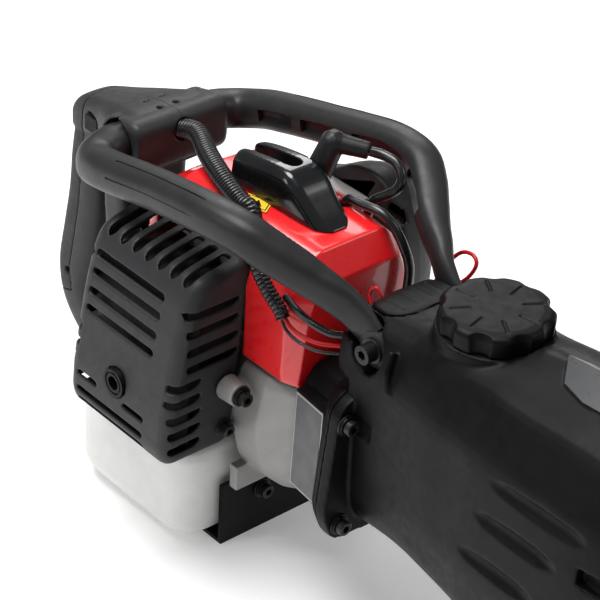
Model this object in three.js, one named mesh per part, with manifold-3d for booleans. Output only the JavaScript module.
// Petrol breaker (two-stroke demolition hammer): engine, frame handles, hammer body and nose.
// Millimetres. +X runs forward along the tool, +Z up, +Y to the left of someone standing behind it.
// The pieces are drawn with y = 0 on the machine's middle plane and x = 0 on the flange between the
// engine's adapter and the hammer body. The last lines set the whole machine on the ground.
import * as THREE from 'three';
import { mergeVertices } from 'three/addons/utils/BufferGeometryUtils.js';
import Module from 'manifold-3d';

const wasm = await Module();
wasm.setup();

// ---------------------------------------------------------------- driving dimensions
const GAP = 0.3;                 // clearance left between pieces that touch
const GROUND_Z = -127;           // underside of the tank guard and of the front handle
const CRANK_Z = -8;              // engine's crank axis
const BARREL_Z = 50;             // axis of the hammer's barrel
const CYLINDER_X = -145;         // engine's upright cylinder

const ARM_X = -255;              // handle's cross arm, which holds both side bars
const ARM_Z = 117;
const ARM_HALF = 41;
const SOCKET_R = 16.5;

const CAP_X = 77;                // crank cap on the hammer body, over the upright crank gear
const CAP_R = 36.5;
const CAP_TOP_Z = 141;

const COVER_X = [-207, -98];     // muffler cover, rear and front
const FAN_X = [-98, -45];        // fan housing
const TANK_X = [-236, -108];
const NOSE_X = 372;              // front face of the tool retainer
const CHISEL_FLATS = 30;         // hexagon socket for the chisel

// The side bars' centre line from socket to hammer body, as x, distance from the middle, z.
const BAR_PATH = [
  [-256, 24, 116.5], [-256, 44, 116], [-253, 58, 114], [-244, 67, 115], [-227, 72, 120], [-206, 74, 125],
  [-185, 75, 130], [-162, 76, 135], [-138, 78, 140], [-104, 80, 146], [-76, 77, 146], [-59, 69, 138],
  [-44, 59, 129], [-32, 52, 122], [-20, 46, 116], [-10, 40.5, 108.5], [0, 37.5, 101], [7, 36.5, 95.5],
];
const BAR_SIZES = [
  [14.3, 14.3], [14.3, 14.3], [13, 14], [12, 13.5], ...Array(10).fill([11.5, 13.5]),
  [10.5, 13.2], [8.5, 13], [6, 12.5], [4.2, 12],
];
const LUG = { x: 14, z: 90.5, inner: 31.5, outer: 41.5, radius: 12.5 };
const FLANGE_BOLTS = [[-52, 44], [-61, -35], [52, 44], [61, -35]];

// ---------------------------------------------------------------- solids
const { Manifold, Mesh: SolidMesh } = wasm;

function solid(geometry) {
  let g = geometry.clone();
  g.deleteAttribute('normal');
  g.deleteAttribute('uv');
  g = mergeVertices(g, 1e-4);
  return new Manifold(new SolidMesh({
    numProp: 3,
    vertProperties: new Float32Array(g.attributes.position.array),
    triVerts: new Uint32Array(g.index.array),
  }));
}

function join(...solids) {
  return solids.reduce((all, next) => all.add(next));
}

function cut(base, ...tools) {
  return tools.reduce((left, tool) => left.subtract(tool), base);
}

// The largest body that a cut leaves; slivers are dropped.
function mainBody(shape) {
  const bodies = shape.decompose();
  return bodies.reduce((best, next) => (next.volume() > best.volume() ? next : best));
}

function box(x0, x1, y0, y1, z0, z1) {
  const g = new THREE.BoxGeometry(x1 - x0, y1 - y0, z1 - z0);
  g.translate((x0 + x1) / 2, (y0 + y1) / 2, (z0 + z1) / 2);
  return solid(g);
}

// A round bar between two points; the second radius makes a cone.
function rod(from, to, radius, radiusTo = radius, sides = 20) {
  const a = new THREE.Vector3(...from);
  const b = new THREE.Vector3(...to);
  const g = new THREE.CylinderGeometry(radiusTo, radius, a.distanceTo(b), sides);
  const turn = new THREE.Quaternion().setFromUnitVectors(
    new THREE.Vector3(0, 1, 0), b.clone().sub(a).normalize());
  g.applyQuaternion(turn);
  g.translate(...a.add(b).multiplyScalar(0.5).toArray());
  return solid(g);
}

function ball(centre, radius, sides = 16) {
  const g = new THREE.SphereGeometry(radius, sides, sides / 2);
  g.translate(...centre);
  return solid(g);
}

// A turned piece: the profile is [radius, along] pairs from axis to axis.
function turned(profile, at, axis = 'z', sides = 28) {
  const g = new THREE.LatheGeometry(profile.map(([r, h]) => new THREE.Vector2(r, h)), sides);
  if (axis === 'z') g.rotateX(Math.PI / 2);
  if (axis === 'x') g.rotateZ(-Math.PI / 2);
  g.translate(...at);
  const s = solid(g);
  return s.volume() > 0 ? s : solid(flipped(g));
}

function flipped(geometry) {
  const g = geometry.clone();
  const i = g.index.array;
  for (let t = 0; t < i.length; t += 3) {
    [i[t], i[t + 1]] = [i[t + 1], i[t]];
  }
  return g;
}

// A closed skin over rings that all hold the same number of points, with flat ends.
function loft(rings) {
  const n = rings[0].length;
  const points = rings.flat();
  const index = [];
  for (let r = 0; r < rings.length - 1; r += 1) {
    for (let i = 0; i < n; i += 1) {
      const a = r * n + i;
      const b = r * n + ((i + 1) % n);
      index.push(a, b, b + n, a, b + n, a + n);
    }
  }
  for (const [r, turn] of [[0, true], [rings.length - 1, false]]) {
    const middle = new THREE.Vector3();
    rings[r].forEach((p) => middle.add(p));
    points.push(middle.divideScalar(n));
    const hub = points.length - 1;
    for (let i = 0; i < n; i += 1) {
      const a = r * n + i;
      const b = r * n + ((i + 1) % n);
      index.push(hub, turn ? b : a, turn ? a : b);
    }
  }
  const g = new THREE.BufferGeometry().setFromPoints(points);
  g.setIndex(index);
  const s = solid(g);
  return s.volume() > 0 ? s : solid(flipped(g));
}

// A polygon with every corner rounded: corners are [u, v], steps points per corner.
function rounded(corners, radius, steps = 3) {
  const out = [];
  corners.forEach((c, i) => {
    const here = new THREE.Vector2(...c);
    const before = new THREE.Vector2(...corners[(i + corners.length - 1) % corners.length]).sub(here);
    const after = new THREE.Vector2(...corners[(i + 1) % corners.length]).sub(here);
    const reach = Math.min(radius, before.length() * 0.48, after.length() * 0.48);
    const a = here.clone().add(before.setLength(reach));
    const b = here.clone().add(after.setLength(reach));
    const bend = new THREE.QuadraticBezierCurve(a, here, b);
    out.push(...bend.getPoints(steps));
  });
  return out;
}

const atX = (x, pts) => pts.map((p) => new THREE.Vector3(x, p.x, p.y));
const atY = (y, pts) => pts.map((p) => new THREE.Vector3(p.x, y, p.y));
const atZ = (z, pts) => pts.map((p) => new THREE.Vector3(p.x, p.y, z));

// Both halves of a section from its half: [distance from the middle, z], top to bottom.
function bothSides(half) {
  const other = half.filter(([y]) => y > 0).map(([y, z]) => [-y, z]).reverse();
  return [...half, ...other];
}

// A smooth run of an oval section along a path. sizes are [half width, half height] at each point;
// the width lies across the hint direction and the path.
function sweep(path, sizes, hint, count = 24, sides = 16, squareness = 2.6) {
  const line = new THREE.CatmullRomCurve3(path.map((p) => new THREE.Vector3(...p)), false, 'centripetal');
  const up = new THREE.Vector3(...hint);
  const rings = [];
  for (let k = 0; k <= count; k += 1) {
    const t = k / count;
    const at = line.getPoint(t);
    const along = line.getTangent(t);
    const wide = new THREE.Vector3().crossVectors(along, up).normalize();
    const high = new THREE.Vector3().crossVectors(wide, along).normalize();
    const f = t * (sizes.length - 1);
    const s = Math.min(Math.floor(f), sizes.length - 2);
    const w = THREE.MathUtils.lerp(sizes[s][0], sizes[s + 1][0], f - s);
    const h = THREE.MathUtils.lerp(sizes[s][1], sizes[s + 1][1], f - s);
    const ring = [];
    for (let i = 0; i < sides; i += 1) {
      const a = (i / sides) * 2 * Math.PI;
      const c = Math.cos(a);
      const d = Math.sin(a);
      const u = Math.sign(c) * Math.abs(c) ** (2 / squareness) * w;
      const v = Math.sign(d) * Math.abs(d) ** (2 / squareness) * h;
      ring.push(at.clone().addScaledVector(wide, u).addScaledVector(high, v));
    }
    rings.push(ring);
  }
  return loft(rings);
}

// A round cord through hand-set points.
function cord(points, radius, steps, sides = 8) {
  const shape = new THREE.Shape(
    Array.from({ length: sides }, (_, i) => {
      const a = (i / sides) * 2 * Math.PI;
      return new THREE.Vector2(radius * Math.cos(a), radius * Math.sin(a));
    }));
  const line = new THREE.CatmullRomCurve3(points.map((p) => new THREE.Vector3(...p)), false, 'centripetal');
  return solid(new THREE.ExtrudeGeometry(shape, { steps, extrudePath: line, curveSegments: 1 }));
}

// ---------------------------------------------------------------- the machine
const machine = new THREE.Group();
const pieces = {};

function add(name, shape, color, roughness, metalness = 0) {
  pieces[name] = shape;
  const m = shape.getMesh();
  const g = new THREE.BufferGeometry();
  g.setAttribute('position', new THREE.Float32BufferAttribute(m.vertProperties, 3));
  g.setIndex(new THREE.Uint32BufferAttribute(m.triVerts, 1));
  const mesh = new THREE.Mesh(g, new THREE.MeshStandardMaterial({ color, roughness, metalness }));
  mesh.name = name;
  machine.add(mesh);
}

const BLACK = 0x252526;
const GRIP = 0x4a4a49;
const BAR = 0x5b5b5d;
const STEEL = 0x8a8c8f;
const DARK_STEEL = 0x2b2b2d;
const CAST = 0x9f9d99;
const RED = 0xc4100f;

// A cap screw lying along X: head from x to x + 7, shank back from x, hexagon key hole in the head.
function capScrew(x, y, z, headR, shankR, shankLength) {
  const screw = join(
    rod([x, y, z], [x + 1.6, y, z], headR + 1.8, headR + 1.8, 12),
    rod([x + 1, y, z], [x + 7.5, y, z], headR, headR, 10),
    rod([x - shankLength, y, z], [x + 1, y, z], shankR, shankR, 8));
  return cut(screw, rod([x + 4, y, z], [x + 9, y, z], headR * 0.55, headR * 0.55, 6));
}

// ---------------------------------------------------------------- side bars
for (const [side, word] of [[-1, 'right'], [1, 'left']]) {
  const bend = sweep(BAR_PATH.map(([x, y, z]) => [x, side * y, z]), BAR_SIZES, [0, 0, 1], 24, 10, 2.5);
  const lug = rod([LUG.x, side * LUG.inner, LUG.z], [LUG.x, side * LUG.outer, LUG.z], LUG.radius,
    LUG.radius, 16);
  // Weight-saving pockets on the bar's inner face.
  const pocket = (from, to) => sweep([from, to].map(([x, y, z]) => [x, side * y, z]), [[4, 5], [4, 5]],
    [0, 0, 1], 1, 8, 4);
  const boltHole = rod([LUG.x, side * 20, LUG.z], [LUG.x, side * 70, LUG.z], 4.5, 4.5, 12);
  add(`side_bar_${word}`, mainBody(cut(join(bend, lug), boltHole,
    pocket([-222, 64, 122.5], [-168, 63, 133]),
    pocket([-160, 63, 134.6], [-116, 66.6, 143.3]))), BAR, 0.6);

  const at = (reach) => [LUG.x, side * (LUG.outer + reach), LUG.z];
  const bolt = join(rod(at(GAP), at(2), 8.5, 8.5, 16), rod(at(1.5), at(10), 6.5, 6.5, 16),
    rod([LUG.x, side * 22, LUG.z], at(1), 4, 4, 12));
  add(`bar_bolt_${word}`, cut(bolt, rod(at(6), at(12), 3.4, 3.4, 6)), DARK_STEEL, 0.35, 0.8);
}

// ---------------------------------------------------------------- rear handle
const neck = loft([
  [-236, [[0, 135], [22, 134], [33, 127], [31, 106], [20, 97], [0, 96]]],
  [-256, [[0, 136], [30, 136], [39, 128], [38, 104], [26, 96], [0, 94]]],
  [-280, [[0, 131], [24, 130], [33, 122], [31, 104], [22, 95], [0, 93]]],
  [-307, [[0, 122], [18, 121], [24, 113], [23, 97], [17, 89], [0, 87]]],
  [-333, [[0, 113], [14, 112], [19, 104], [19, 86], [14, 80], [0, 79]]],
  [-345, [[0, 105], [10, 104], [15, 98], [15, 84], [11, 79], [0, 78]]],
].map(([x, half]) => atX(x, rounded(bothSides(half), 8, 1))));

const crossArm = loft([-ARM_HALF, -ARM_HALF + 3, ARM_HALF - 3, ARM_HALF].map((y) => {
  const reach = 22.5 - (Math.abs(y) === ARM_HALF ? 1.5 : 0);
  return atY(y, rounded([
    [ARM_X - reach, ARM_Z - reach + 4], [ARM_X + reach, ARM_Z - reach], [ARM_X + reach, ARM_Z + reach],
    [ARM_X - reach, ARM_Z + reach - 9]], 13, 3));
}));

// The D: rear grip, its lower corner and the foot below the front post.
const gripLine = [
  [-314, 0, 98], [-326, 0, 86], [-331, 0, 62], [-334, 0, 28], [-341, 0, -8], [-348, 0, -42], [-344, 0, -66],
  [-327, 0, -86], [-300, 0, -98], [-276, 0, -104],
];
const gripSizes = [
  [16, 18], [18, 18], [19, 18], [20, 18], [20.5, 18], [20, 18], [19, 18], [17, 17], [14, 16], [13, 16],
];
const gripLoop = sweep(gripLine, gripSizes, [0, 1, 0], 18, 12, 3);
const post = loft([
  [-112, -288, -266, 18], [-60, -290, -264, 22], [20, -290, -264, 28], [62, -290, -264, 30],
    [98, -286, -262, 30],
].map(([z, x0, x1, w]) => atZ(z, rounded([[x0, -w], [x1, -w], [x1, w], [x0, w]], 8, 2))));
const foot = box(-300, -242, -17, 17, -122, -102);
const handleOuter = join(neck, crossArm, gripLoop, post, foot);

// The ribbed pad takes the back of the grip; inset leaves the gap between pad and shells.
const padZone = (inset) => loft([-30, 30].map((y) => atY(y, [
  [-400, 130], [-325 - inset, 130], [-325 - inset, 100], [-330 - inset, 60], [-334 - inset, 23],
    [-341 - inset, -12],
  [-347 - inset, -41], [-344 - inset, -60 + inset], [-400, -76 + inset],
].map(([x, z]) => new THREE.Vector2(x, z)))));

const gripHollow = join(
  sweep(gripLine, gripSizes.map(([w, h]) => [w - 5, h - 5]), [0, 1, 0], 16, 8, 3),
  box(-284, -270, -16, 16, -100, 100),
  box(-318, -240, -15, 15, 100, 112));
const sockets = [-1, 1].map((side) => rod(
  [ARM_X - 1, side * 22, ARM_Z], [ARM_X - 1, side * 60, ARM_Z], SOCKET_R, SOCKET_R, 16));

// Openings: trigger slot, conduit outlet, stop switch window and the screw hole in the foot.
const shells = cut(
  handleOuter, padZone(0), gripHollow, ...sockets,
  box(-330, -305, -7, 7, 26, 80),
  rod([-240, 0, 122.6], [-210, 0, 130.8], 7.9, 7.9, 14),
  box(-317, -301, -30, -11, 95, 109),
  rod([-250, 0, -130], [-250, 0, -95], 3, 3, 10));
const half = (side) => (side < 0 ? box(-420, -180, -90, -GAP / 2, -200, 200) : box(-420, -180, GAP / 2,
  90, -200, 200));
for (const [side, word] of [[-1, 'right'], [1, 'left']]) {
  add(`handle_shell_${word}`, mainBody(shells.intersect(half(side))), GRIP, 0.62);
}

// Ribbed pad: notches cross its back.
const padBack = (z) => -354 + (z - 28) * (z > 28 ? 0.11 : 0.2);
const notches = Array.from({ length: 9 }, (_, k) => {
  const z = 80 - k * 15.5;
  return rod([padBack(z) - 1.2, -30, z], [padBack(z) - 1.2, 30, z], 2.4, 2.4, 6);
});
add('rear_grip_pad', mainBody(cut(join(neck, gripLoop).intersect(padZone(GAP)), gripHollow,
  ...notches)), GRIP, 0.8);

const trigger = loft([-5.8, 5.8].map((y) => atY(y, rounded([
  [-322, 77], [-314, 77], [-305, 56], [-303, 38], [-308, 31], [-315, 36], [-319, 56]], 3, 2))));
add('throttle_trigger', trigger, BLACK, 0.5);
add('stop_switch', box(-316, -302, -24.5, -15, 96, 108), BLACK, 0.5);

// ---------------------------------------------------------------- drive train (inside)
const onCrank = (x0, x1, radius, sides) => rod([x0, 0, CRANK_Z], [x1, 0, CRANK_Z], radius, radius, sides);
add('crankshaft', join(
  onCrank(-240, -50, 8, 14),
  onCrank(CYLINDER_X - 15, CYLINDER_X - 6, 28, 22),
  onCrank(CYLINDER_X + 6, CYLINDER_X + 15, 28, 22),
  onCrank(-52, -38, 26, 18)), STEEL, 0.35, 1);

const fanBlades = Array.from({ length: 10 }, (_, i) => box(-78, -64, -1.2, 1.2, 24, 44)
  .rotate([i * 36, 0, 0]).translate([0, 0, CRANK_Z]));
add('flywheel_fan', cut(join(onCrank(-88, -77, 45, 24), onCrank(-78, -64, 26, 18), ...fanBlades),
  onCrank(-95, -55, 8.3, 14)), CAST, 0.5, 0.6);

add('clutch_drum', cut(join(onCrank(-42, -12, 34, 24), onCrank(-14, 30, 9, 14), onCrank(28, 42, 14, 18)),
  onCrank(-44, -18, 29, 22)), STEEL, 0.4, 0.9);

// Crank gear under the cap: a crown wheel and a crank disc on an upright shaft. The connecting rod's pin
// stands on the disc with running clearance.
const CRANK_THROW = 14;
const DISC_TOP = 30;
const upright = (z0, z1, radius, sides, x = CAP_X) => rod([x, 0, z0], [x, 0, z1], radius, radius, sides);
add('crank_gear', join(upright(-40, 26, 9, 14), upright(8, 16, 34, 24), upright(20, DISC_TOP, 24, 22)),
  STEEL, 0.35, 1);

const PISTON_PIN_X = 160;
add('connecting_rod', cut(join(
  upright(DISC_TOP + GAP, 56, 6, 12, CAP_X + CRANK_THROW), upright(44, 56, 11, 18, CAP_X + CRANK_THROW),
  box(CAP_X + CRANK_THROW, PISTON_PIN_X - 5, -5, 5, 46, 54), upright(45, 55, 9, 16, PISTON_PIN_X)),
upright(30, 70, 5.4, 12, PISTON_PIN_X)), STEEL, 0.4, 0.9);

const onBarrel = (x0, x1, radius, sides) => rod([x0, 0, BARREL_Z], [x1, 0, BARREL_Z], radius, radius,
  sides);
add('hammer_piston', join(cut(onBarrel(144, 196, 24, 24), onBarrel(130, 180, 17, 20)),
  upright(28, 72, 5, 12, PISTON_PIN_X)), STEEL, 0.3, 1);
add('striker', onBarrel(214, 268, 15, 18), STEEL, 0.3, 1);

// ---------------------------------------------------------------- hammer body
const rearLobe = loft([
  [-12, [[0, 106], [24, 105], [33, 103], [42, 97], [47, 82], [47, 66], [40, 60], [0, 58]]],
  [-2, [[0, 109], [26, 108], [36, 106], [43, 99], [48, 86], [48, 62], [40, 54], [0, 52]]],
  [6, [[0, 110], [28, 109], [37, 107], [44, 100], [48, 87], [48, 58], [40, 50], [0, 48]]],
].map(([x, side]) => atX(x, rounded(bothSides(side), 6, 2))));

const bodyShape = loft([
  [0, [[0, 110], [30, 109], [42, 102], [48, 88], [48, 60], [50, 20], [50, -20], [46, -42], [30, -52],
    [0, -54]]],
  [45, [[0, 118], [30, 114], [44, 104], [54, 80], [54, 40], [54, 0], [50, -28], [42, -44], [28, -52],
    [0, -54]]],
  [77, [[0, 124], [34, 122], [46, 108], [58, 82], [59, 40], [58, 0], [52, -34], [42, -48], [28, -58],
    [0, -60]]],
  [105, [[0, 130], [24, 125], [43, 115], [60, 84], [61, 40], [61, 0], [54, -38], [42, -54], [26, -64],
    [0, -66]]],
  [140, [[0, 138], [24, 126], [46, 118], [63, 84], [64, 40], [64, 0], [58, -44], [43, -60], [26, -70],
    [0, -72]]],
  [214, [[0, 144], [24, 132], [47, 121], [64, 86], [66, 46], [66, 4], [58, -40], [43, -58], [26, -68],
    [0, -70]]],
  [252, [[0, 138], [22, 128], [42, 114], [56, 86], [60, 50], [56, 14], [46, -22], [32, -38], [18, -44],
    [0, -46]]],
  [276, [[0, 101], [18, 97], [34, 86], [46, 68], [49, 50], [46, 32], [36, 14], [22, 4], [10, 0], [0, -1]]],
  [290, [[0, 96], [16, 93], [31, 83], [43, 66], [46, 50], [43, 34], [33, 17], [20, 8], [9, 4.5], [0, 4]]],
].map(([x, side]) => atX(x, rounded(bothSides(side), 9, 1))));

const flangeHalf = [[0, 54], [50, 55], [62, 46], [71, -34], [62, -56], [0, -60]];
const flange = (x0, x1) => loft([x0, x1].map((x) => atX(x, rounded(bothSides(flangeHalf), 8, 2))));
const barBosses = [-1, 1].map((side) => rod([LUG.x, side * 20, LUG.z - 4], [LUG.x, side * (LUG.inner - GAP),
  LUG.z - 4], 17, 15, 14));
const capCollar = upright(96, CAP_TOP_Z - 15 - GAP, 38, 24);
const bodyHollow = join(
  loft([
    [-1, 40, -40, 42], [40, 42, -42, 60], [118, 44, -44, 88], [132, 27, 20, 78],
  ].map(([x, w, z0, z1]) => atX(x, rounded([[-w, z0], [w, z0], [w, z1], [-w, z1]], 12, 2)))),
  onBarrel(126, 274, 24.8, 16),
  onBarrel(270, 292, 17, 14),
  upright(80, 150, 29, 20));
const sideGrooves = [-1, 1].flatMap((side) => [[158, 243, 107], [142, 226, 78], [135, 182, 51],
  [120, 150, 13]]
  .map(([x0, x1, z]) => rod([x0, side * 67, z], [x1, side * 68, z + 3], 5.5, 5.5, 6)));
const sideSlots = [-1, 1].map((side) => box(220, 250, Math.min(side * 58, side * 80),
  Math.max(side * 58, side * 80),
  48, 60));
let body = cut(join(rearLobe, bodyShape, flange(0, 9), ...barBosses, capCollar), bodyHollow, ...sideGrooves,
  ...sideSlots, ...[-1, 1].map((side) => rod([LUG.x, side * 18, LUG.z], [LUG.x, side * 60, LUG.z], 4.4,
    4.4, 12)),
  ...FLANGE_BOLTS.flatMap(([y, z]) => [rod([-2, y, z], [14, y, z], 3.5, 3.5, 8),
    rod([9, y, z], [26, y, z], 8, 8, 10)]),
  upright(CAP_TOP_Z - 15 - GAP, 160, CAP_R + 2, 24));

// Flat seats beside the body for the ends of the side bars.
const barSeats = [-1, 1].map((side) => join(
  rod([LUG.x, side * (LUG.inner - GAP), LUG.z], [LUG.x, side * 80, LUG.z], LUG.radius + 1.2,
    LUG.radius + 1.2, 16),
  sweep([[-30, 51, 122], [-20, 46, 116], [-10, 40.5, 108.5],
    [10, 36, 93]].map(([x, y, z]) => [x, side * y, z]),
    [[13, 15.5], [12, 15], [10, 14.6], [6.5, 13.6]], [0, 0, 1], 5, 8, 2.5)));
body = cut(body, ...barSeats);

// The vent flap and the maker's plate lie in shallow recesses.
const flapShape = (grow) => loft([
  [-10.5 - grow, 19, 104.6, 107.4], [-4, 26, 105.6, 110.4], [8, 28, 107.4, 112.4], [18, 22, 109.4, 113.6],
  [23 + grow, 11, 110.4, 114],
].map(([x, w, z0, z1]) => atX(x, rounded([[-w - grow, z0 - 1.6 - grow], [w + grow, z0 - 1.6 - grow],
  [w + grow, z1 - 1.6], [0, z1 + grow], [-w - grow, z1 - 1.6]], 2, 1))));
add('vent_flap', flapShape(0), BLACK, 0.55);

const plateShape = (grow) => loft([
  [139 - grow, 138.4, -1, 1], [151, 139.6, -16, 5], [171, 141.4, -21, 5], [205 + grow, 144, -21, 5],
].map(([x, top, y0, y1]) => {
  const z = (y) => top - 0.5 * Math.abs(y);
  const [a, b] = [y0 - grow, y1 + grow];
  return [[a, z(a) + 0.4], [0, z(0) + 0.4], [b, z(b) + 0.4], [b, z(b) - 2 - grow], [0, z(0) - 2 - grow],
    [a, z(a) - 2 - grow]].map(([y, h]) => new THREE.Vector3(x, y, h));
}));
add('name_plate', plateShape(0), 0x48484a, 0.4, 0.6);

const capLobes = Array.from({ length: 9 }, (_, i) => {
  const a = (i + 0.5) * (2 * Math.PI / 9);
  return upright(100, 150, 10, 10).translate([44 * Math.cos(a), 44 * Math.sin(a), 0]);
});
const capShape = turned([
  [0, CAP_TOP_Z - 15], [CAP_R, CAP_TOP_Z - 15], [CAP_R + 0.6, CAP_TOP_Z - 4], [CAP_R - 3, CAP_TOP_Z - 0.6],
  [CAP_R - 8, CAP_TOP_Z], [0, CAP_TOP_Z]], [CAP_X, 0, 0], 'z', 36);
const capSkirt = upright(CAP_TOP_Z - 27, CAP_TOP_Z - 14, 28, 24);
add('crank_cap', join(cut(capShape, ...capLobes), capSkirt), BLACK, 0.55);
add('hammer_body', mainBody(cut(body, flapShape(GAP), plateShape(GAP))), BLACK, 0.5);

// ---------------------------------------------------------------- adapter between engine and hammer
const adapterShape = loft([
  [FAN_X[1] + GAP, [[0, 48], [36, 47], [45, 36], [49, -40], [40, -58], [0, -60]]],
  [-16, [[0, 50], [40, 49], [48, 36], [54, -38], [44, -58], [0, -60]]],
  [-9, [[0, 53], [48, 53], [58, 44], [66, -34], [58, -56], [0, -60]]],
  [-GAP, flangeHalf],
].map(([x, side]) => atX(x, rounded(bothSides(side), 8, 2))));
add('adapter_housing', cut(adapterShape, onCrank(-60, -10, 38, 24), onCrank(-20, 5, 24, 20),
  box(-14, 20, -46, 46, 52 - GAP, 70), rearLobe.translate([0, 0, -GAP]),
  ...FLANGE_BOLTS.map(([y, z]) => rod([-60, y, z], [14, y, z], 3.5, 3.5, 10))), BLACK, 0.55);
FLANGE_BOLTS.forEach(([y, z], i) => {
  add(`flange_bolt_${i + 1}`, capScrew(9 + GAP, y, z, 5.2, 3.2, 17), DARK_STEEL, 0.35, 0.8);
});

// ---------------------------------------------------------------- engine
const fanHalf = [[0, 27], [55, 27], [63, -14], [55, -53], [31, -77], [0, -80]];
const fanFront = [[0, 27], [46, 27], [50, -4], [47, -47], [28, -68], [0, -70]];
const fanShape = loft([
  [FAN_X[0], fanHalf], [FAN_X[0] + 26, fanHalf], [FAN_X[1], fanFront],
].map(([x, side]) => atX(x, rounded(bothSides(side), 8, 2))));
const BOSS = { y: -68, z: 12, front: -82 };
add('fan_housing', mainBody(cut(
  join(fanShape, rod([FAN_X[0] + 1, BOSS.y, BOSS.z], [BOSS.front, BOSS.y, BOSS.z], 9, 8, 16),
    box(-98, -90, -62, 62, -76, -56)),
  onCrank(-95, -58, 47, 28), onCrank(-60, -40, 30, 22), onCrank(-100, -90, 20, 18),
    box(-93, -58, -38, 38, 0, 40))),
CAST, 0.5, 0.4);
add('housing_bolt', capScrew(BOSS.front + GAP, BOSS.y, BOSS.z, 5, 3, 0.2), DARK_STEEL, 0.4, 0.8);

add('crankcase', cut(
  join(box(-206, -98.4, -40, 40, -43.6, 36), box(CYLINDER_X - 36, CYLINDER_X + 36, -34, 34, 35, 48)),
  onCrank(CYLINDER_X - 20, CYLINDER_X + 20, 31, 24), onCrank(-230, -90, 12, 16),
  upright(-8, 60, 24, 22, CYLINDER_X)), CAST, 0.55, 0.6);

// Spark plug axis, leaning forward and to the left out of the cylinder head.
const plugAt = (t) => [-122 + 15.6 * t, 9 + 16.1 * t, 104 + 60 * t];
const fins = Array.from({ length: 5 },
  (_, i) => box(CYLINDER_X - 41, CYLINDER_X + 41, -38, 38, 57 + i * 11, 60 + i * 11));
add('cylinder', mainBody(cut(
  join(upright(48.4, 112, 30, 16, CYLINDER_X), ...fins,
    box(CYLINDER_X - 20, CYLINDER_X + 20, -43.6, 46, 66, 90)),
  upright(40, 100, 22, 16, CYLINDER_X), rod(plugAt(-0.1), plugAt(0.3), 5.4, 5.4, 12),
  rod([CYLINDER_X, -20, 78], [CYLINDER_X, -60, 78], 10, 10, 10),
  rod([CYLINDER_X, 20, 78], [CYLINDER_X, 60, 78], 10, 10, 10))), CAST, 0.5, 0.7);
add('spark_plug', join(rod(plugAt(0.04), plugAt(0.22), 5, 5, 12), rod(plugAt(0.22), plugAt(0.3), 9, 9, 6),
  rod(plugAt(0.3), plugAt(0.76), 4.4, 3.6, 12)), STEEL, 0.35, 0.7);

const elbow = plugAt(1);
add('plug_boot', cut(join(
  rod(plugAt(0.42), elbow, 10, 8.6, 16), ball(elbow, 9, 10), rod(elbow, [-87, 40, 161], 7.2, 6, 12)),
rod(plugAt(0.38), plugAt(0.8), 5.6, 4.6, 12)), BLACK, 0.45);

add('muffler', join(
  loft([[-44, -5], [-50, 0], [-82, 0], [-88, -5]].map(([y, s]) => atY(y, rounded([
    [-196 - s, -22 - s], [-110 + s, -22 - s], [-110 + s, 84 + s], [-196 - s, 84 + s]], 14, 2)))),
  rod([-156, -86, 2], [-156, -111, 2], 8, 8, 16)), 0x3a3836, 0.6, 0.7);

// Muffler cover: a slotted box whose outer face leans in towards its top.
const coverSection = (inset) => rounded([
  [-119.2 + inset, -27], [-116 + inset, -38 + inset], [-60 - inset, -38 + inset],
    [-46 - inset, 100 - inset],
  [-52 - inset, 106 - inset],
  [-92 + inset, 98 - inset], [-100 + inset, 84 - inset], [-107.5 + inset, 54], [-117.5 + inset, -2]], 8, 1);
const coverLoft = (rings) => loft(rings.map(([x, inset]) => atX(x, coverSection(inset))));
const coverOuter = coverLoft([
  [COVER_X[0], 6], [COVER_X[0] + 3, 2], [COVER_X[0] + 8, 0], [COVER_X[1] - 8, 0], [COVER_X[1] - 3, 2],
    [COVER_X[1], 6]]);
const coverInner = coverLoft([
  [COVER_X[0] + 2.5, 8], [COVER_X[0] + 8, 3], [COVER_X[1] - 8, 3], [COVER_X[1] - 2.5, 8]]);
const coverRoom = coverLoft([[COVER_X[0] - 2 * GAP, -3 * GAP], [COVER_X[1] + 2 * GAP, -3 * GAP]]);
const openSide = loft([COVER_X[0] + 2.5, COVER_X[1] - 2.5].map((x) => atX(x, [
  [-74, -33], [-30, -33], [-30, 95], [-74, 88]].map(([y, z]) => new THREE.Vector2(y, z)))));
const faceSlots = [[-198, 79], [-198, 66], [-198, 52], [-198, 39], [-190, -24]].map(([x0, z]) => box(
  x0, -124, -140, z > 0 ? -92 : -106, z - 2.8, z + 2.8));
const sideSlotsAt = [76, 63, 49, 36, 23, 11, -1, -13, -25];
const frontSlots = sideSlotsAt.map((z) => box(-106, -90, z > 30 ? -98 : -112, z > 30 ? -60 : -84, z - 3,
  z + 3));
const rearSlots = sideSlotsAt.map((z) => box(-215, -199, z > 30 ? -98 : -112, z > 30 ? -60 : -84, z - 3,
  z + 3));
const topSlots = Array.from({ length: 7 },
  (_, i) => box(-196 + i * 13.5, -188.5 + i * 13.5, -90, -58, 84, 120));
add('muffler_cover', mainBody(cut(coverOuter, coverInner, openSide, ...faceSlots, ...frontSlots,
  ...rearSlots,
  ...topSlots, rod([-156, -130, 2], [-156, -100, 2], 11, 11, 18), fanShape.translate([-GAP, 0, 0]))),
    0x555658, 0.62);
add('cover_bolt', capScrew(COVER_X[1] + GAP, -69, -22, 4.4, 2.6, 0.2), DARK_STEEL, 0.4, 0.8);

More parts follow.
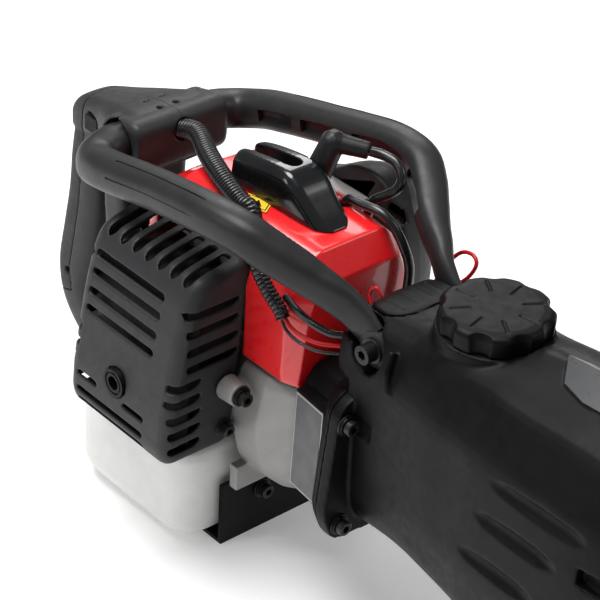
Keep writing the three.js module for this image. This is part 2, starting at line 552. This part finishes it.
// Red engine shroud over the cylinder.
const shroudShell = (inset) => loft([
  [-214 + inset, [[0, 106], [24, 104], [42, 92], [48, 64], [48, 29]]],
  [-190, [[0, 121], [28, 120], [46, 108], [55, 82], [55, 29]]],
  [-150, [[0, 125], [31, 124], [48, 111], [55, 88], [55, 29]]],
  [-105, [[0, 126], [31, 125], [46, 112], [55, 88], [55, 29]]],
  [-57, [[0, 122.5], [29, 122], [44, 106], [53, 84], [55, 29]]],
  [-45.5 - inset, [[0, 103.5], [29, 103], [37, 99], [44, 78], [50, 29]]],
].map(([x, side]) => {
  const s = side.map(([y, z]) => [Math.max(y - inset, 0), z > 29 ? z - inset : z - 2 * inset]);
  return atX(x, rounded(bothSides([...s, [0, s[s.length - 1][1]]]), 4, 1));
}));
const shroudOuter = shroudShell(0);
add('engine_shroud', mainBody(cut(shroudOuter, shroudShell(2.6), box(-201, -106, -80, -42, 20, 100),
  box(-176, -114, 42, 80, 20, 100), box(-206, -95, -50, 50, 20, 49), coverRoom,
  rod(plugAt(0.1), plugAt(0.7), 13, 13, 18), rod([-79.5, 36, 110], [-79, 36, 135], 5.4, 5.4, 10),
  rod([-92, 25.5, 110], [-92, 25.5, 135], 4.8, 4.8, 10))), RED, 0.3);

// Forked cover over the plug, on top of the shroud.
const forkShape = loft([
  [-164, 14, 139], [-160, 18, 145], [-140, 20, 149.5], [-112, 20, 153], [-100, 19.5, 149], [-89, 18.5, 140],
  [-76, 17, 129.5], [-68, 14, 124.5],
].map(([x, w, top]) => atX(x, rounded([[-w, 112], [w, 112], [w - 3, top - 5], [w - 8, top], [8 - w, top],
  [3 - w, top - 5]], 4, 2))));
add('plug_cover', mainBody(cut(forkShape, box(-175, -114, -6, 6, 136, 170),
  rod([-114, 0, 136], [-114, 0, 170], 6, 6, 12), rod(plugAt(0.2), plugAt(1.1), 10.8, 10.8, 18), shroudOuter,
  shroudOuter.translate([0, 0, GAP]), pieces.plug_boot)), 0x17181a, 0.2);

// ---------------------------------------------------------------- carburettor side
add('carburettor', cut(join(box(-171, -119, 46.4, 73, 58, 98),
  rod([CYLINDER_X, 52, 58.2], [CYLINDER_X, 52, 50], 9, 9, 14)),
  rod([CYLINDER_X, 40, 78], [CYLINDER_X, 90, 78], 10, 10, 14)), STEEL, 0.5, 0.6);
const filterOutline = [
  [-205, 0], [-205, 68], [-186, 90], [-165, 99], [-138, 116], [-112, 119], [-90, 104], [-79, 73], [-76, 40],
  [-82, 6], [-100, -10], [-190, -10]];
const FILTER_MIDDLE = [-140, 52];
const filterRing = (y, scale) => atY(y, rounded(filterOutline.map(([x, z]) => [
  FILTER_MIDDLE[0] + (x - FILTER_MIDDLE[0]) * scale,
    FILTER_MIDDLE[1] + (z - FILTER_MIDDLE[1]) * scale]), 12, 1));
const filterOuter = loft([[74, 0.97], [77, 1], [94, 0.96], [106, 0.86],
  [111, 0.74]].map(([y, s]) => filterRing(y, s)));
const filterInner = loft([[77, 0.96], [93, 0.92], [103, 0.82],
  [108, 0.7]].map(([y, s]) => filterRing(y, s)));
const filterWindow = loft([70,
  80].map((y) => atY(y, rounded([[-152, 97], [-114, 113], [-128, 88]], 3, 2))));
add('air_filter_cover', mainBody(cut(filterOuter, filterInner, filterWindow,
  box(-174, -116, 70, 80, 24, 84),
  rod([-96, 70, 98], [-96, 80, 98], 6, 6, 12), rod([-87, 70, 96], [-87, 80, 96], 5, 5, 12),
  rod([CYLINDER_X, 92, -16], [CYLINDER_X, 92, 6], 10.4, 10.4, 16))), 0x3c3d3f, 0.6);
add('air_filter_element', box(-178, -108, 82, 98, 10, 78), 0xcfc7a8, 0.95);
add('choke_lever', join(rod([-205.4, 88, 40], [-212, 88, 40], 7, 7, 14),
  box(-211, -207, 84, 92, 38, 66)), RED, 0.45);
add('primer_bulb', rod([CYLINDER_X, 92, -6], [CYLINDER_X, 92, -22], 9.5, 6.5, 16), 0xd8d6cf, 0.3);

// ---------------------------------------------------------------- recoil starter
const ROPE_Z = CRANK_Z + 38;
const starterShell = turned([
  [0, -252], [36, -252], [54, -246], [60, -234], [60, -207.6], [57, -207.6], [57, -232], [51, -242],
    [34, -248],
  [0, -248]], [0, 0, CRANK_Z], 'x', 22);
add('recoil_cover', mainBody(cut(starterShell, box(-215, -200, -56, 56, 27, 60),
  rod([-240, 40, ROPE_Z], [-240, 70, ROPE_Z], 3, 3,
  10))), BLACK, 0.6);
add('recoil_pulley', cut(join(onCrank(-245, -240.5, 38, 22), onCrank(-240.7, -236, 44, 24)),
  onCrank(-250, -230, 8.4, 14)),
  0x1c1c1d, 0.5);
add('pull_grip', join(rod([-255, 66, ROPE_Z], [-225, 66, ROPE_Z], 6.5, 6.5, 14),
  rod([-240, 64, ROPE_Z], [-240, 44, ROPE_Z], 2.2, 2.2, 8)),
  BLACK, 0.5);

// ---------------------------------------------------------------- fuel tank and its guard
const tankRing = (z, inset) => atZ(z, rounded([
  [TANK_X[0] + inset, -94 + inset], [TANK_X[1] - inset, -94 + inset], [TANK_X[1] - inset, 74 - inset],
  [TANK_X[0] + inset, 74 - inset]], 22, 2));
const tankOuter = loft([[-122, 9], [-118, 3.5], [-108, 0], [-66, 0], [-50, 2],
  [-46, 7]].map(([z, i]) => tankRing(z, i)));
const tankInner = loft([[-119, 12], [-106, 3], [-66, 3], [-49, 10]].map(([z, i]) => tankRing(z, i)));
const neckAt = (t) => [-204 - 5 * t, 60 + 22 * t, -66 + 22 * t];
// A saddle in the tank's top leaves room for the starter.
const saddle = (radius) => onCrank(-260, -206.5, radius, 24);
add('fuel_tank', mainBody(cut(join(cut(tankOuter, saddle(61)), rod(neckAt(0), neckAt(1), 17, 16, 16)),
  cut(tankInner, saddle(64)), rod(neckAt(-0.1), neckAt(1.2), 12, 12, 14))), 0xe9e7e1, 0.45);
add('fuel_cap', join(rod(neckAt(1.02), neckAt(1.5), 20, 18, 20),
  rod(neckAt(0.6), neckAt(1.1), 11, 11, 16)), BLACK, 0.5);

const PLATE = 3;
const guardFront = FAN_X[0] - 2;
const guard = join(
  box(guardFront - PLATE, guardFront, -66, 66, GROUND_Z, -76.3),
  box(-214, guardFront, -66, 66, GROUND_Z, GROUND_Z + PLATE),
  box(guardFront - PLATE, guardFront, -40, 40, -77, -56),
  box(-262, -210, -16, 16, GROUND_Z, GROUND_Z + PLATE));
add('tank_guard', cut(guard, rod([-110, -30, -93], [-95, -30, -93], 4, 4, 10),
  rod([-250, 0, -130], [-250, 0, -120], 3, 3,
  10)), BLACK, 0.5, 0.3);
add('guard_bolt', capScrew(guardFront + GAP, -30, -93, 5, 3.2, 6), DARK_STEEL, 0.4, 0.8);

// ---------------------------------------------------------------- nose
const onNose = (profile, sides) => turned(profile, [0, 0, BARREL_Z], 'x', sides);
add('nose_collar', onNose([[18, 290.3], [45, 290.3], [45, 318], [41, 324], [35, 345], [18, 345],
  [18, 290.3]], 20),
  BLACK, 0.5);
add('tool_retainer', cut(rod([345.3, 0, BARREL_Z], [NOSE_X, 0, BARREL_Z], 32, 29, 24),
  rod([340, 0, BARREL_Z], [380, 0, BARREL_Z], CHISEL_FLATS / Math.sqrt(3), CHISEL_FLATS / Math.sqrt(3), 6)),
DARK_STEEL, 0.35, 0.8);

// Front handle: a clamp ring on the collar and a D below it, which also stands the nose on the ground.
const HANDLE_X = 305;
const HANDLE_TUBE = 12.5;
const handleSide = [[-47, 34], [-66, 16], [-80, -16], [-84, -60], [-80, -92], [-62, -110],
  [-36, GROUND_Z + HANDLE_TUBE + GAP]];
const handleLine = [...handleSide, [0, GROUND_Z + HANDLE_TUBE],
  ...handleSide.map(([y, z]) => [-y, z]).reverse()].map(([y, z]) => [HANDLE_X, y, z]);
add('front_handle', cut(join(rod([HANDLE_X - 11, 0, BARREL_Z], [HANDLE_X + 11, 0, BARREL_Z], 54, 54, 20),
  sweep(handleLine, [[HANDLE_TUBE, HANDLE_TUBE], [HANDLE_TUBE, HANDLE_TUBE]], [1, 0, 0], 24, 10, 2)),
rod([HANDLE_X - 20, 0, BARREL_Z], [HANDLE_X + 20, 0, BARREL_Z], 46.2, 46.2, 20)), GRIP, 0.6);

// ---------------------------------------------------------------- cords, all held by the machine
const conduitLine = [
  [-238, 0, 123.2], [-218, 0, 128.5], [-188, -14.5, 130], [-160, -26.7, 131.8], [-140, -33.5, 131.8],
    [-122, -38.5, 131.5],
  [-108, -41.5, 131.5], [-84, -57, 114], [-70, -60, 102], [-56, -60, 92], [-52, -60, 87]];
add('throttle_conduit', sweep(conduitLine, [
  [6.7, 6.7], [6.7, 6.7], [6.7, 6.7], [6.7, 6.7], [6.7, 6.7], [6.2, 6.2], [5, 5], [4.4, 4.4],
    [4.2, 4.2], [4.2, 4.2]],
[0, 0, 1], 26, 8, 2), 0x141414, 0.45);
add('throttle_cable', cord([[-60, -51.5, 96], [-47, -54.5, 95], [-32, -54, 92], [-20, -49, 88.5],
  [-13.6, -43, 87.5]], 2.6, 12),
  0x0e0e0e, 0.4);
add('stop_wire_red', cord([[-50.2, -60, 87.7], [-45, -59.5, 83.5], [-37, -58, 81.2], [-24, -54, 80.4],
  [-13.4, -44, 79.8]],
  1.5, 12), 0xb00c10, 0.4);
add('stop_wire_black', cord([[-53.2, -60, 85], [-48, -60, 79.5], [-38, -58.5, 75.6], [-24, -54, 74.4],
  [-13.2, -44, 73.8]],
  1.2, 12), 0x111111, 0.4);
add('wire_loop_near', cord([[-13.4, -12, 91], [-21, -12, 96], [-24, -11, 103], [-20, -10, 107.5],
  [-16, -9, 104],
  [-13.6, -8, 98]], 1.3, 12), 0xb00c10, 0.4);
add('wire_loop_far', cord([[-14, 36, 92], [-21, 46, 93], [-24, 58, 99], [-17, 62.5, 109], [-6, 62, 113],
  [0, 60, 109],
  [-4, 57, 98], [-13, 50, 87], [-16, 42, 82], [-14, 36, 80]], 1.4, 24), 0xb00c10, 0.4);
add('ignition_lead', cord([[-86.3, 40.6, 160.9], [-80, 45, 160], [-69, 47.5, 158], [-61, 46, 151],
  [-62, 43, 142.5],
  [-69, 39.5, 135.5], [-76, 37, 130], [-79, 36, 123], [-80, 35, 114]], 3.4, 20), 0x111111, 0.4);
add('coil_lead', cord([[-92.5, 25.5, 114], [-92, 25.5, 123], [-88, 25.7, 128.8], [-77, 26.8, 129.6],
  [-62, 29.2, 130],
  [-51, 31.8, 123.5], [-43, 34.6, 111], [-38.5, 37, 96], [-38, 36, 78], [-38, 32, 54]], 3.4, 22),
    0x111111, 0.4);

// ---------------------------------------------------------------- set on the ground, centred
const extent = new THREE.Box3().setFromObject(machine);
const centre = extent.getCenter(new THREE.Vector3());
machine.position.set(-centre.x, -centre.y, -extent.min.z);

export default machine;
